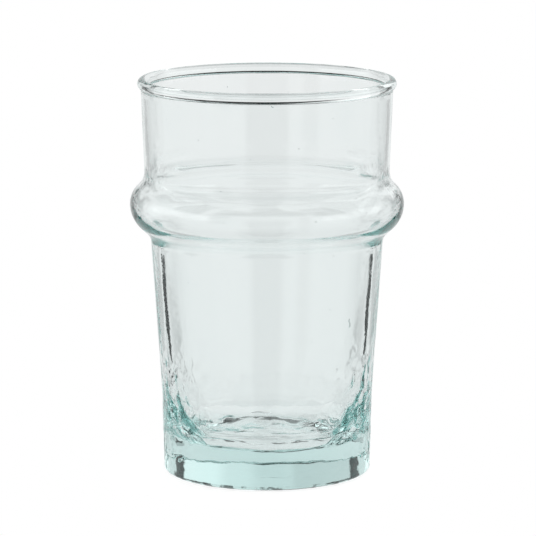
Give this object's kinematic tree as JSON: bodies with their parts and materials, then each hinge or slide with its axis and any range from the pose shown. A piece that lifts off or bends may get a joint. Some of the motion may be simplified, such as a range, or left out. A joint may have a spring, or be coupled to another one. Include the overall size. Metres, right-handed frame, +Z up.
{
  "type": "drinking glass",
  "caption": "Round mouth-blown tumbler of pale aqua glass with a thick solid foot, a tapering body, a hollow ring that bulges out below a straight collar, and a rounded rim.",
  "frame": {"origin": "centre of the underside of the foot, where the glass stands on the table", "axes": "+Z up along the axis of the glass; it is round, so X and Y are alike"},
  "size_m": [0.0824, 0.0824, 0.12],
  "materials": {
    "glass": "clear blown glass with a pale aqua tint, fire-polished"
  },
  "bodies": {
    "root": {"foot": "glass", "body_wall": "glass", "ring_underside": "glass", "ring_shoulder": "glass", "collar": "glass", "rim": "glass"}
  },
  "joints": []
}
